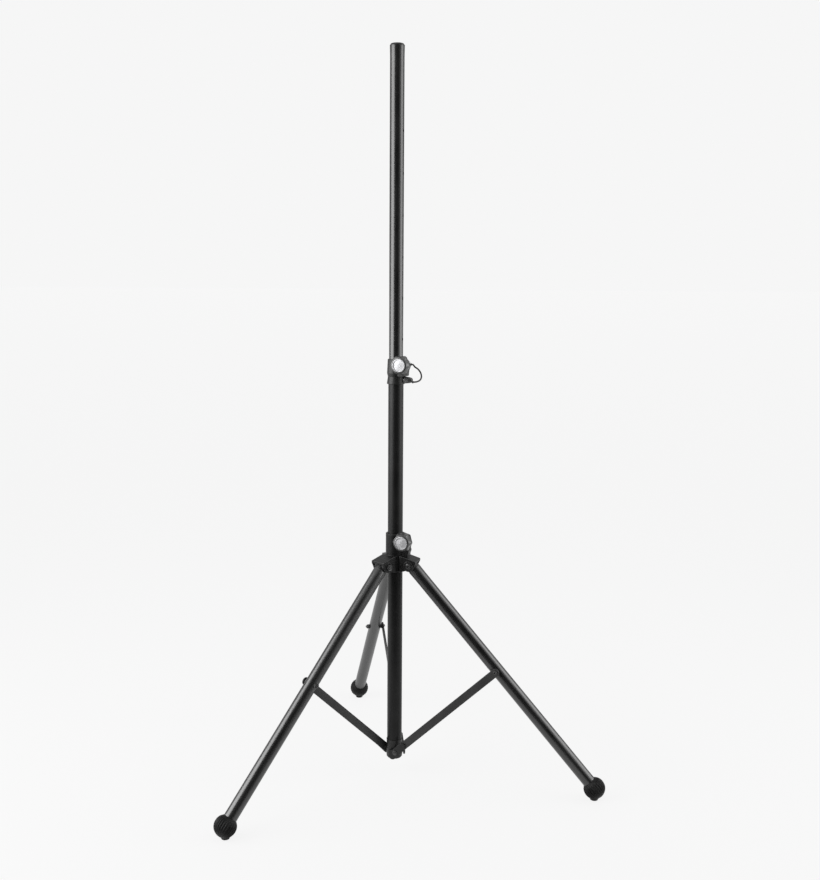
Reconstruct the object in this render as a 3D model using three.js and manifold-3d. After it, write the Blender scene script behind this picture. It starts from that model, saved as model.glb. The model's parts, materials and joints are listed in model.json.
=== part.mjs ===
// Tripod stand for a public-address loudspeaker.
// A telescopic mast is held by two clamps with star knobs. The lower clamp is a hub that
// slides on the mast and carries three legs, and three flat braces tie the legs to a
// bracket at the foot of the mast. Millimetres, +Z up, floor at z = 0, shown set up.

import * as THREE from 'three';
import { mergeVertices } from 'three/addons/utils/BufferGeometryUtils.js';
import Module from 'manifold-3d';

const wasm = await Module();
wasm.setup();

const DEGREE = Math.PI / 180;
const ROUND = 24; // sides of the large round sections
const SMALL_ROUND = 12; // sides of bolts and small bores
const BORE_ROUND = 16; // sides of bores round a bolt, whose flats keep clear of it
const GAP = 0.3; // between pieces that touch on the real stand
const CUT = 1; // how far a cutting tool runs past the face that it cuts

// Mast tubes
const MAST_TOP = 1830;
const OUTER_R = 19;
const OUTER_BORE_R = 17.8;
const OUTER_BOTTOM = 46;
const OUTER_TOP = 1038;
const INNER_R = 17.5;
const INNER_BORE_R = 15.9;
const INNER_BOTTOM = 832;
const CAP_HEIGHT = 6;
const CAP_EDGE = 2.5;
const PLUG_R = INNER_BORE_R - GAP;
const PLUG_LENGTH = 24;
const PIN_HOLE_R = 3.6;
const PIN_HOLE_PITCH = 100;
const PIN_HOLES_UP = 7;

// Legs, as seen in the upright plane through one leg
const LEG_COUNT = 3;
const REAR_LEG_AZIMUTH = 90;
const COLLAR_AZIMUTH = -34; // both clamps open above the right leg
const HUB_AZIMUTH = -30;
const FOOT_CIRCLE_R = 521;
const FOOT_CENTRE_Z = 29.6;
const FOOT_R = 26.3;
const FOOT_PAD_R = 9;
const LEG_PIVOT_R = 41.5;
const PIVOT_BOLT_R = 4;
const LEG_ANGLE = 42.2; // from the vertical
const LEG_TUBE_R = 16.25;
const LEG_TUBE_BORE_R = 15;
const LEG_TUBE_START = 14; // below the pivot, along the leg
const LEG_HEAD_R = 13.4; // round end about the pivot
const LEG_LENGTH = (FOOT_CIRCLE_R - LEG_PIVOT_R) / Math.sin(LEG_ANGLE * DEGREE);
const LEG_PIVOT_Z = FOOT_CENTRE_Z + LEG_LENGTH * Math.cos(LEG_ANGLE * DEGREE);

// The rear leg stands further from the mast than the front pair reaches forward, so the
// mast stands this far in front of the middle of the footprint.
const MAST_Y = -FOOT_CIRCLE_R * (1 - Math.sin(30 * DEGREE)) / 2;

// Braces
const BRACE_ON_LEG = 340.6; // from the leg's pivot, along the leg
const BRACE_FOOT_R = 10.3;
const BRACE_FOOT_Z = 61.2;
const BRACE_WIDTH = 20;
const BRACE_NEAR_Y = 21; // inner face, beside the leg
const BRACE_FAR_Y = 24; // outer face
const BRACE_TOP_R = LEG_PIVOT_R + BRACE_ON_LEG * Math.sin(LEG_ANGLE * DEGREE);
const BRACE_TOP_Z = LEG_PIVOT_Z - BRACE_ON_LEG * Math.cos(LEG_ANGLE * DEGREE);
const BRACE_LENGTH = Math.hypot(BRACE_TOP_R - BRACE_FOOT_R, BRACE_TOP_Z - BRACE_FOOT_Z);
const BRACE_TILT = Math.atan2(BRACE_TOP_R - BRACE_FOOT_R, BRACE_TOP_Z - BRACE_FOOT_Z);
const BRACE_BOLT_R = 3;
const BRACE_PIN_R = 4;

// Clamps: ears on a split sleeve, drawn together by a knob's stud and a captive nut
const STUD_R = 3;
const STUD_DEPTH = 14; // into the knob
const SLOT_HALF = 2;
const NUT_CORNER_R = 5.8;
const NUT_HEIGHT = 5;
const EAR_ROOT = 12; // where an ear starts, inside its sleeve
const KNOB_LENGTH = 30.2;
const KNOB_NECK_R = 8.1;
const KNOB_NECK_FLARE = 3; // how far the neck widens towards the star
const KNOB_NECK = 11.5; // keeps the star clear of the sleeve
const KNOB_STAR = 12;
const KNOB_LOBES = 6;
const KNOB_MEAN_R = 23.2;
const KNOB_LOBE_HEIGHT = 1.8;
const KNOB_FACE_R = 20;
const DISC_R = 16;
const DISC_RECESS = 2;

const COLLAR = {
  bottom: 1017,
  step: 1038,
  top: 1078,
  lowerR: 22.2,
  upperR: 20.2,
  boltR: 26.5,
  boltZ: 1066,
  earHalf: 19,
  // Outline of the ears, from the sleeve's bottom to its top
  ear: [[27.2, 1035.6], [28.6, 1050.5], [32.6, 1059.5], [32.6, 1067], [23.3, 1078]],
  slotBottom: 1041,
};

const HUB = {
  bottom: 541,
  top: 638,
  sleeveR: 24.2,
  boltR: 28.7,
  boltZ: 622,
  earHalf: 13,
  ear: [[37, 577], [37.2, 586], [40.2, 594], [38, 600.5], [41.8, 612.5], [36.5, 632.5], [19, 638]],
  slotBottom: 602,
};

// Hooded wings of the hub that hold the leg tops
const WING = {
  half: 22,
  gapHalf: 17.9,
  reach: 60.5,
  roofInnerZ: 582,
  roofOuterZ: 571.5,
  roofThickness: 3.5,
  lipThickness: 2.2,
  lipBottomZ: 566,
  pivotR: 14.5,
  ringR: 12,
  ringBoreR: 8,
  ringHeight: 1.5,
  rootR: 18, // inside the sleeve
};

// Bottom bracket
const BRACKET = {
  bottom: 39.5,
  bodyTop: 84,
  top: 90,
  bodyR: 20.7,
  topR: 20.2,
  footR: 17.4,
  cheekInnerY: 24.4,
  cheekOuterY: 27.8,
  // Outline of a cheek that covers the brace's end, from the brace's lower edge to its upper
  cheek: [[37, 73.5], [37, 85], [33.5, 89], [26, 89], [4, 68.2]],
  lobeX: 3, // round lower end of a cheek
  lobeZ: 52.2,
  lobeR: 9.7,
  lobeEnd: 316, // degrees, where the round end meets the cheek's lower edge
  webTo: -0.8,
  webInnerY: 15,
  webTop: 68.2,
  rivetZ: 76,
};
const RIVET_R = 1.6;
const RIVET_BORE_R = 1.9;

// Locking pin and its wire
const PIN_Z = 1027;
const PIN_R = 3;
const PIN_TIP_X = 18.1;
const PIN_HEAD_FROM = 22.8;
const PIN_HEAD_TO = 43;
const PIN_HEAD_R = 8.2;
const PIN_HEAD_END_R = 6.9;
const FERRULE_R = 2.3;
const PIN_FERRULE_LENGTH = 3;
const COLLAR_FERRULE_LENGTH = 3.5;
const LANYARD_R = 1.6;
const LANYARD_STEPS = 24;
// Route of the wire in the clamp's frame: outward, sideways, up
const LANYARD_ROUTE = [
  [36.7, 13, 1065],
  [40.6, 12.9, 1064.4],
  [46.4, 11.2, 1059],
  [54.6, 9, 1054.6],
  [61.4, 6.6, 1048.2],
  [65.4, 4.4, 1041.3],
  [66.4, 2.6, 1034.3],
  [64, 1.2, 1028.6],
  [59, 0.4, 1025],
  [53, 0, 1023.2],
  [46.6, 0, 1022.5],
];

const paint = { color: 0x141414, roughness: 0.38, metalness: 0.35 };
const MATERIALS = {
  outerPaint: new THREE.MeshStandardMaterial(paint),
  innerPaint: new THREE.MeshStandardMaterial({ ...paint, roughness: 0.3 }),
  plastic: new THREE.MeshStandardMaterial({ color: 0x1c1c1c, roughness: 0.5, metalness: 0 }),
  rubber: new THREE.MeshStandardMaterial({ color: 0x101010, roughness: 0.8, metalness: 0 }),
  blackSteel: new THREE.MeshStandardMaterial({ color: 0x262626, roughness: 0.4, metalness: 0.7 }),
  zinc: new THREE.MeshStandardMaterial({ color: 0x9a9a9a, roughness: 0.35, metalness: 1 }),
  silver: new THREE.MeshStandardMaterial({ color: 0xdadada, roughness: 0.28, metalness: 1 }),
};

// ---- solids ----------------------------------------------------------------------------

// Turns a closed geometry into a solid that can be joined and cut.
function solid(geometry) {
  const bare = geometry.clone();
  bare.deleteAttribute('normal');
  bare.deleteAttribute('uv');
  const merged = mergeVertices(bare, 1e-4);
  const corners = [];
  const index = merged.index.array;
  for (let i = 0; i < index.length; i += 3) {
    const [a, b, c] = index.slice(i, i + 3);
    if (a !== b && b !== c && c !== a) corners.push(a, b, c);
  }
  const mesh = new wasm.Mesh({
    numProp: 3,
    vertProperties: new Float32Array(merged.attributes.position.array),
    triVerts: new Uint32Array(corners),
  });
  return new wasm.Manifold(mesh);
}

function geometryOf(shape) {
  const mesh = shape.getMesh();
  const geometry = new THREE.BufferGeometry();
  geometry.setAttribute('position', new THREE.BufferAttribute(mesh.vertProperties, 3));
  geometry.setIndex(new THREE.BufferAttribute(mesh.triVerts, 1));
  return geometry;
}

function join(first, ...others) {
  return others.reduce((whole, other) => whole.add(solid(other)), solid(first));
}

function cut(shape, ...tools) {
  return tools.reduce((rest, tool) => rest.subtract(solid(tool)), shape);
}

// Cylinder along +Z.
function rod(radius, from, to, sides = ROUND) {
  const geometry = new THREE.CylinderGeometry(radius, radius, to - from, sides);
  return geometry.rotateX(Math.PI / 2).translate(0, 0, (from + to) / 2);
}

// Round solid about Z. The profile lists [radius, z] and runs up its outer side.
function turned(profile, sides = ROUND) {
  const points = profile.map(([radius, z]) => new THREE.Vector2(radius, z));
  return new THREE.LatheGeometry(points, sides).rotateX(Math.PI / 2);
}

function pipe(radius, bore, from, to, sides = ROUND) {
  return turned([[bore, from], [radius, from], [radius, to], [bore, to], [bore, from]], sides);
}

function block(x0, x1, y0, y1, z0, z1) {
  const geometry = new THREE.BoxGeometry(x1 - x0, y1 - y0, z1 - z0);
  return geometry.translate((x0 + x1) / 2, (y0 + y1) / 2, (z0 + z1) / 2);
}

// Plate whose outline lies in the X-Z plane, from y0 to y1.
function plate(outline, y0, y1, segments = 8) {
  const settings = { depth: y1 - y0, bevelEnabled: false, curveSegments: segments };
  return new THREE.ExtrudeGeometry(outline, settings).rotateX(Math.PI / 2).translate(0, y1, 0);
}

// Cylinder along Y, centred on (x, z).
function crossRod(radius, x, z, y0, y1, sides = SMALL_ROUND) {
  return rod(radius, y0, y1, sides).rotateX(-Math.PI / 2).translate(x, 0, z);
}

// Ears of a clamp, before they are slit.
function ears(clamp) {
  const lowest = clamp.ear[0][1];
  const highest = clamp.ear[clamp.ear.length - 1][1];
  const outline = new THREE.Shape();
  outline.moveTo(EAR_ROOT, lowest);
  clamp.ear.forEach(([x, z]) => outline.lineTo(x, z));
  outline.lineTo(EAR_ROOT, highest);
  outline.closePath();
  return plate(outline, -clamp.earHalf, clamp.earHalf);
}

function slotOutline(length, width) {
  const outline = new THREE.Shape();
  const radius = width / 2;
  outline.absarc(0, 0, radius, 0, Math.PI, false);
  outline.lineTo(-radius, -length);
  outline.absarc(0, -length, radius, Math.PI, 2 * Math.PI, false);
  outline.closePath();
  return outline;
}

// ---- scene graph -----------------------------------------------------------------------

const stand = new THREE.Group();
const mast = new THREE.Group();
mast.position.set(0, MAST_Y, 0);
stand.add(mast);

// A clamp is drawn in its own frame: x away from the mast between the ears, -y to the knob.
function clampFrameAt(azimuth) {
  const frame = new THREE.Group();
  frame.rotation.z = azimuth * DEGREE;
  mast.add(frame);
  return frame;
}

const collarFrame = clampFrameAt(COLLAR_AZIMUTH);
const hubFrame = clampFrameAt(HUB_AZIMUTH);

function addPiece(parent, name, geometry, material) {
  const piece = new THREE.Mesh(geometry, material);
  piece.name = name;
  parent.add(piece);
  return piece;
}

// ---- mast ------------------------------------------------------------------------------

function mastTubes() {
  const pinBore = (radius, z) => {
    const bore = rod(radius, -2 * OUTER_R, 2 * OUTER_R, 12).rotateY(Math.PI / 2);
    return bore.translate(0, 0, z).rotateZ(COLLAR_AZIMUTH * DEGREE);
  };
  const outer = cut(solid(pipe(OUTER_R, OUTER_BORE_R, OUTER_BOTTOM, OUTER_TOP)),
    pinBore(PIN_HOLE_R, PIN_Z));
  addPiece(mast, 'outer_tube', geometryOf(outer), MATERIALS.outerPaint);

  const bores = [];
  for (let i = 0; i < PIN_HOLES_UP; i += 1) {
    bores.push(pinBore(PIN_HOLE_R, PIN_Z + i * PIN_HOLE_PITCH));
  }
  const innerTop = MAST_TOP - CAP_HEIGHT;
  const inner = cut(solid(pipe(INNER_R, INNER_BORE_R, INNER_BOTTOM, innerTop)), ...bores);
  addPiece(mast, 'inner_tube', geometryOf(inner), MATERIALS.innerPaint);

  const capBottom = innerTop + GAP;
  const cap = turned([
    [0, capBottom - PLUG_LENGTH],
    [PLUG_R, capBottom - PLUG_LENGTH],
    [PLUG_R, capBottom],
    [INNER_R, capBottom],
    [INNER_R, MAST_TOP - CAP_EDGE],
    [INNER_R - CAP_EDGE * 0.3, MAST_TOP - CAP_EDGE * 0.3],
    [INNER_R - CAP_EDGE, MAST_TOP],
    [0, MAST_TOP],
  ]);
  addPiece(mast, 'inner_tube_cap', cap, MATERIALS.plastic);

  const guideTop = INNER_BOTTOM - GAP;
  const guide = turned([
    [0, guideTop - CAP_HEIGHT],
    [INNER_R - CAP_EDGE, guideTop - CAP_HEIGHT],
    [INNER_R, guideTop - CAP_HEIGHT + CAP_EDGE],
    [INNER_R, guideTop],
    [PLUG_R, guideTop],
    [PLUG_R, guideTop + PLUG_LENGTH],
    [0, guideTop + PLUG_LENGTH],
  ]);
  addPiece(mast, 'inner_tube_guide', guide, MATERIALS.plastic);
}

// ---- clamps ----------------------------------------------------------------------------

function clampCuts(clamp) {
  const nutFrom = clamp.earHalf - NUT_HEIGHT - GAP;
  const farEnd = clamp.earHalf + CUT;
  return [
    block(EAR_ROOT, 50, -SLOT_HALF, SLOT_HALF, clamp.slotBottom, clamp.top + CUT),
    crossRod(STUD_R + GAP + 0.05, clamp.boltR, clamp.boltZ, -farEnd, farEnd, BORE_ROUND),
    crossRod(NUT_CORNER_R + GAP + 0.05, clamp.boltR, clamp.boltZ, nutFrom, farEnd, 6),
  ];
}

// Rivet through a sleeve into the mast, along +Z: a short shank under a domed head.
function sleeveRivet(shank) {
  return turned([
    [0, 0],
    [RIVET_R, 0],
    [RIVET_R, shank],
    [RIVET_R + 1.8, shank],
    [RIVET_R + 1, shank + 1.1],
    [0, shank + 1.5],
  ], SMALL_ROUND);
}

function upperCollar() {
  const body = join(
    turned([
      [0, COLLAR.bottom],
      [COLLAR.lowerR, COLLAR.bottom],
      [COLLAR.lowerR, COLLAR.step - 3.5],
      [COLLAR.upperR, COLLAR.step + 5.5],
      [COLLAR.upperR, COLLAR.top],
      [0, COLLAR.top],
    ]),
    ears(COLLAR),
  );
  const pinBore = rod(PIN_R + GAP + 0.1, 0, 40, SMALL_ROUND).rotateY(Math.PI / 2);
  const rivetBore = rod(RIVET_BORE_R, 0, 40, SMALL_ROUND).rotateX(-Math.PI / 2);
  const collar = cut(body,
    rod(OUTER_R + GAP, COLLAR.bottom - CUT, COLLAR.step + GAP),
    rod(INNER_R + GAP + 0.05, COLLAR.step, COLLAR.top + CUT),
    ...clampCuts(COLLAR),
    pinBore.translate(0, 0, PIN_Z),
    rivetBore.translate(0, 0, PIN_Z));
  addPiece(collarFrame, 'upper_collar', geometryOf(collar), MATERIALS.plastic);

  const rivetPiece = addPiece(collarFrame, 'upper_collar_rivet', sleeveRivet(2.9),
    MATERIALS.blackSteel);
  rivetPiece.position.set(0, OUTER_R + 0.6, PIN_Z);
  rivetPiece.rotation.x = -Math.PI / 2;
}

// Star knob along +Z from its neck, with a bore for its stud and a recess for its disc.
function knobGeometry() {
  const outline = new THREE.Shape();
  const points = 6 * KNOB_LOBES;
  for (let i = 0; i < points; i += 1) {
    const turn = (i / points) * 2 * Math.PI;
    const radius = KNOB_MEAN_R + KNOB_LOBE_HEIGHT * Math.cos(KNOB_LOBES * turn);
    const x = radius * Math.cos(turn);
    const y = radius * Math.sin(turn);
    if (i === 0) outline.moveTo(x, y);
    else outline.lineTo(x, y);
  }
  outline.closePath();
  const star = new THREE.ExtrudeGeometry(outline, { depth: KNOB_STAR, bevelEnabled: false });
  const starEnd = KNOB_NECK + KNOB_STAR;
  const front = turned([
    [0, 0],
    [KNOB_NECK_R, 0],
    [KNOB_NECK_R + KNOB_NECK_FLARE, KNOB_NECK],
    [KNOB_NECK_R + KNOB_NECK_FLARE, starEnd - CUT],
    [KNOB_MEAN_R - KNOB_LOBE_HEIGHT, starEnd - CUT],
    [KNOB_MEAN_R - KNOB_LOBE_HEIGHT, starEnd],
    [KNOB_FACE_R, KNOB_LENGTH],
    [0, KNOB_LENGTH],
  ]);
  const body = join(front, star.translate(0, 0, KNOB_NECK));
  const knob = cut(body,
    rod(STUD_R + GAP, -CUT, STUD_DEPTH, BORE_ROUND),
    rod(DISC_R + GAP, KNOB_LENGTH - DISC_RECESS, KNOB_LENGTH + CUT));
  return geometryOf(knob);
}

function clampKnob(clampFrame, clamp, prefix) {
  const knob = new THREE.Group();
  knob.position.set(clamp.boltR, -clamp.earHalf - GAP - 0.1, clamp.boltZ);
  knob.rotation.x = Math.PI / 2;
  clampFrame.add(knob);
  addPiece(knob, `${prefix}_knob`, knobGeometry(), MATERIALS.plastic);

  const discFrom = KNOB_LENGTH - DISC_RECESS + GAP;
  const disc = turned([
    [0, discFrom],
    [DISC_R, discFrom],
    [DISC_R, KNOB_LENGTH - 0.4],
    [DISC_R - 0.6, KNOB_LENGTH + 0.2],
    [0, KNOB_LENGTH + 0.2],
  ]);
  addPiece(knob, `${prefix}_knob_disc`, disc, MATERIALS.silver);

  const stud = rod(STUD_R, -2 * clamp.earHalf + 0.5, STUD_DEPTH - GAP, SMALL_ROUND);
  addPiece(knob, `${prefix}_knob_stud`, stud, MATERIALS.zinc);

  const nut = cut(
    solid(crossRod(NUT_CORNER_R, clamp.boltR, clamp.boltZ,
      clamp.earHalf - NUT_HEIGHT, clamp.earHalf, 6)),
    crossRod(STUD_R + GAP, clamp.boltR, clamp.boltZ, 0, clamp.earHalf + CUT, BORE_ROUND),
  );
  addPiece(clampFrame, `${prefix}_clamp_nut`, geometryOf(nut), MATERIALS.zinc);
}

// ---- hub -------------------------------------------------------------------------------

// One wing in the plane of its leg: two cheeks under a sloping roof with a short lip.
function wingParts() {
  const side = new THREE.Shape();
  side.moveTo(WING.rootR, WING.roofInnerZ);
  side.lineTo(WING.rootR, HUB.bottom);
  side.lineTo(30, HUB.bottom + 3);
  side.absarc(LEG_PIVOT_R, LEG_PIVOT_Z, WING.pivotR, -120 * DEGREE, -10 * DEGREE, false);
  side.lineTo(WING.reach, WING.lipBottomZ);
  side.lineTo(WING.reach, WING.roofOuterZ);
  side.lineTo(HUB.sleeveR, WING.roofInnerZ);
  side.closePath();

  const hollow = new THREE.Shape();
  const innerFace = WING.reach - WING.lipThickness;
  const slope = (WING.roofOuterZ - WING.roofInnerZ) / (WING.reach - HUB.sleeveR);
  const underside = (r) => WING.roofInnerZ + slope * (r - HUB.sleeveR) - WING.roofThickness;
  hollow.moveTo(HUB.sleeveR, underside(HUB.sleeveR));
  hollow.lineTo(HUB.sleeveR, HUB.bottom - CUT);
  hollow.lineTo(innerFace + 20, HUB.bottom - CUT);
  hollow.lineTo(innerFace + 20, WING.lipBottomZ);
  hollow.lineTo(innerFace, WING.lipBottomZ);
  hollow.lineTo(innerFace, underside(innerFace));
  hollow.closePath();

  const ringFrom = WING.half - CUT;
  const ringTo = WING.half + WING.ringHeight;
  const ring = (y0, y1) => crossRod(WING.ringR, LEG_PIVOT_R, LEG_PIVOT_Z, y0, y1, BORE_ROUND);
  const ringBore = (y0, y1) => crossRod(WING.ringBoreR, LEG_PIVOT_R, LEG_PIVOT_Z, y0, y1, BORE_ROUND);
  return {
    added: [
      plate(side, -WING.half, WING.half),
      ring(-ringTo, -ringFrom),
      ring(ringFrom, ringTo),
    ],
    removed: [
      plate(hollow, -WING.gapHalf, WING.gapHalf),
      ringBore(-ringTo - CUT, -WING.half),
      ringBore(WING.half, ringTo + CUT),
      crossRod(PIVOT_BOLT_R + GAP + 0.05, LEG_PIVOT_R, LEG_PIVOT_Z, -ringTo - CUT, ringTo + CUT),
    ],
  };
}

function hubBody(azimuths) {
  let body = join(rod(HUB.sleeveR, HUB.bottom, HUB.top));
  const turnedTo = (geometry, azimuth) => geometry.rotateZ(azimuth * DEGREE);
  for (const azimuth of azimuths) {
    const wing = wingParts();
    let shape = join(...wing.added.map((piece) => turnedTo(piece, azimuth)));
    shape = cut(shape, ...wing.removed.map((piece) => turnedTo(piece, azimuth)));
    body = body.add(shape);
  }
  body = body.add(solid(turnedTo(ears(HUB), HUB_AZIMUTH)));
  const clampTools = clampCuts(HUB);
  body = cut(body,
    rod(OUTER_R + GAP, HUB.bottom - CUT, HUB.top + CUT),
    ...clampTools.map((tool) => turnedTo(tool, HUB_AZIMUTH)));
  addPiece(mast, 'hub_body', geometryOf(body), MATERIALS.plastic);
}

// ---- legs ------------------------------------------------------------------------------

// Bolt across a leg: domed head at -y, plain shank to +y.
function crossBolt(shankR, headR, headHeight, headFrom, shankTo) {
  const bolt = turned([
    [0, -shankTo],
    [shankR, -shankTo],
    [shankR, headFrom],
    [headR, headFrom],
    [headR * 0.86, headFrom + headHeight * 0.7],
    [headR * 0.5, headFrom + headHeight],
    [0, headFrom + headHeight],
  ], SMALL_ROUND);
  return bolt.rotateX(Math.PI / 2);
}

function pivotHardware(spoke, number) {
  const outside = WING.half + GAP;
  const bolt = addPiece(spoke, `leg_pivot_bolt_${number}`,
    crossBolt(PIVOT_BOLT_R, 6.6, 3.8, outside, outside + 6.4), MATERIALS.blackSteel);
  bolt.position.set(LEG_PIVOT_R, 0, LEG_PIVOT_Z);
  const nut = cut(solid(crossRod(7.2, 0, 0, outside, outside + 5.6, 6)),
    crossRod(PIVOT_BOLT_R + GAP, 0, 0, 0, outside + 10, BORE_ROUND));
  const nutPiece = addPiece(spoke, `leg_pivot_nut_${number}`, geometryOf(nut),
    MATERIALS.blackSteel);
  nutPiece.position.set(LEG_PIVOT_R, 0, LEG_PIVOT_Z);
}

function legHead() {
  const body = join(
    crossRod(LEG_HEAD_R, 0, 0, -WING.gapHalf + 0.4, WING.gapHalf - 0.4, BORE_ROUND),
    rod(LEG_TUBE_BORE_R - GAP, -48, 0),
    rod(LEG_TUBE_R - 0.2, -LEG_TUBE_START + GAP, -6),
  );
  return geometryOf(cut(body, crossRod(PIVOT_BOLT_R + GAP + 0.05, 0, 0, -20, 20)));
}

function rubberFoot() {
  const ball = new THREE.SphereGeometry(FOOT_R, ROUND, 12).rotateX(Math.PI / 2);
  const pad = turned([
    [0, -FOOT_CENTRE_Z],
    [FOOT_PAD_R, -FOOT_CENTRE_Z],
    [FOOT_PAD_R + 1.5, -FOOT_R * 0.8],
    [0, -FOOT_R * 0.8],
  ]);
  const bore = rod(LEG_TUBE_R + GAP, 3.7, 2 * FOOT_R).rotateY(-LEG_ANGLE * DEGREE);
  return geometryOf(cut(join(ball, pad), bore));
}

function acornNut() {
  const flats = LEG_TUBE_R + GAP;
  const nut = join(
    crossRod(5.8, 0, 0, flats, flats + 5, 6),
    turned([
      [0, 0],
      [4.9, 0],
      [4.3, 2.6],
      [2.6, 4.8],
      [0, 5.6],
    ], SMALL_ROUND).rotateX(-Math.PI / 2).translate(0, flats + 4.5, 0),
  );
  return geometryOf(cut(nut, crossRod(BRACE_BOLT_R + GAP, 0, 0, 0, flats + 6, SMALL_ROUND)));
}

function leg(spoke, number) {
  const frame = new THREE.Group();
  frame.position.set(LEG_PIVOT_R, 0, LEG_PIVOT_Z);
  frame.rotation.y = -LEG_ANGLE * DEGREE;
  spoke.add(frame);

  addPiece(frame, `leg_head_${number}`, legHead(), MATERIALS.plastic);

  const tubeEnd = -LEG_LENGTH + 4;
  const boltBore = crossRod(BRACE_BOLT_R + GAP, 0, -BRACE_ON_LEG, -20, 20);
  const tube = cut(
    solid(pipe(LEG_TUBE_R, LEG_TUBE_BORE_R, tubeEnd, -LEG_TUBE_START)), boltBore);
  addPiece(frame, `leg_tube_${number}`, geometryOf(tube), MATERIALS.outerPaint);

  const bolt = addPiece(frame, `brace_bolt_${number}`,
    crossBolt(BRACE_BOLT_R, 5.6, 3.4, BRACE_FAR_Y + GAP, LEG_TUBE_R + 5.5),
    MATERIALS.blackSteel);
  bolt.position.set(0, 0, -BRACE_ON_LEG);
  const nut = addPiece(frame, `brace_nut_${number}`, acornNut(), MATERIALS.blackSteel);
  nut.position.set(0, 0, -BRACE_ON_LEG);
  const spacer = cut(
    solid(crossRod(6.5, 0, 0, -BRACE_NEAR_Y + GAP, -LEG_TUBE_R - GAP)),
    crossRod(BRACE_BOLT_R + GAP, 0, 0, -30, 0),
  );
  const spacerPiece = addPiece(frame, `brace_spacer_${number}`, geometryOf(spacer),
    MATERIALS.plastic);
  spacerPiece.position.set(0, 0, -BRACE_ON_LEG);

  const foot = addPiece(spoke, `rubber_foot_${number}`, rubberFoot(), MATERIALS.rubber);
  foot.position.set(FOOT_CIRCLE_R, 0, FOOT_CENTRE_Z);
}

function brace(spoke, number) {
  const frame = new THREE.Group();
  frame.position.set(BRACE_TOP_R, 0, BRACE_TOP_Z);
  frame.rotation.y = BRACE_TILT;
  spoke.add(frame);

  const bar = cut(
    solid(plate(slotOutline(BRACE_LENGTH, BRACE_WIDTH), -BRACE_FAR_Y, -BRACE_NEAR_Y)),
    crossRod(BRACE_BOLT_R + GAP, 0, 0, -30, 0),
    crossRod(BRACE_PIN_R + GAP, 0, -BRACE_LENGTH, -30, 0),
  );
  addPiece(frame, `brace_bar_${number}`, geometryOf(bar), MATERIALS.outerPaint);
  addPiece(frame, `brace_pin_${number}`,
    crossRod(BRACE_PIN_R, 0, -BRACE_LENGTH, -BRACE_FAR_Y, -BRACE_NEAR_Y),
    MATERIALS.blackSteel);
}

// ---- bottom bracket --------------------------------------------------------------------

// Outer cheek of one brace's slot, with the web that joins it to the body.
function bracketLug() {
  const { cheekOuterY, cheekInnerY, lobeX, lobeZ, lobeR, lobeEnd } = BRACKET;
  const { webTo, webInnerY, webTop } = BRACKET;
  const back = lobeX - lobeR;
  const outline = new THREE.Shape();
  outline.moveTo(back, webTop);
  outline.absarc(lobeX, lobeZ, lobeR, Math.PI, lobeEnd * DEGREE, false);
  BRACKET.cheek.forEach(([x, z]) => outline.lineTo(x, z));
  outline.closePath();
  return cut(
    join(
      plate(outline, -cheekOuterY, -cheekInnerY),
      block(back, webTo, -cheekOuterY, -webInnerY, lobeZ, webTop),
    ),
    crossRod(BRACE_PIN_R + GAP, BRACE_FOOT_R, BRACE_FOOT_Z, -cheekOuterY - CUT, -cheekInnerY + CUT),
  );
}

function bottomBracket(azimuths) {
  let body = solid(turned([
    [0, BRACKET.bottom],
    [BRACKET.footR, BRACKET.bottom],
    [BRACKET.footR + 3, BRACKET.bottom + 4],
    [BRACKET.bodyR, BRACKET.bottom + 14],
    [BRACKET.bodyR, BRACKET.bodyTop],
    [BRACKET.topR, BRACKET.top],
    [0, BRACKET.top],
  ]));
  for (const azimuth of azimuths) {
    body = body.add(solid(geometryOf(bracketLug()).rotateZ(azimuth * DEGREE)));
  }
  const rivetBore = rod(RIVET_BORE_R, 0, 40, SMALL_ROUND).rotateY(Math.PI / 2);
  rivetBore.translate(0, 0, BRACKET.rivetZ);
  body = cut(body,
    rod(OUTER_R + GAP, OUTER_BOTTOM - GAP, BRACKET.top + CUT),
    rivetBore.rotateZ(HUB_AZIMUTH * DEGREE));
  addPiece(mast, 'bottom_bracket', geometryOf(body), MATERIALS.plastic);

  const rivetPiece = addPiece(hubFrame, 'bottom_bracket_rivet', sleeveRivet(1.5),
    MATERIALS.blackSteel);
  rivetPiece.position.set(OUTER_R + 0.4, 0, BRACKET.rivetZ);
  rivetPiece.rotation.y = Math.PI / 2;
}

function bracketPinHead(spoke, number) {
  const face = BRACKET.cheekOuterY + GAP;
  const head = crossBolt(BRACE_PIN_R, 6, 1.8, face, -BRACKET.cheekInnerY);
  const piece = addPiece(spoke, `bracket_pin_head_${number}`, head, MATERIALS.blackSteel);
  piece.position.set(BRACE_FOOT_R, 0, BRACE_FOOT_Z);
}

// ---- locking pin -----------------------------------------------------------------------

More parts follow.
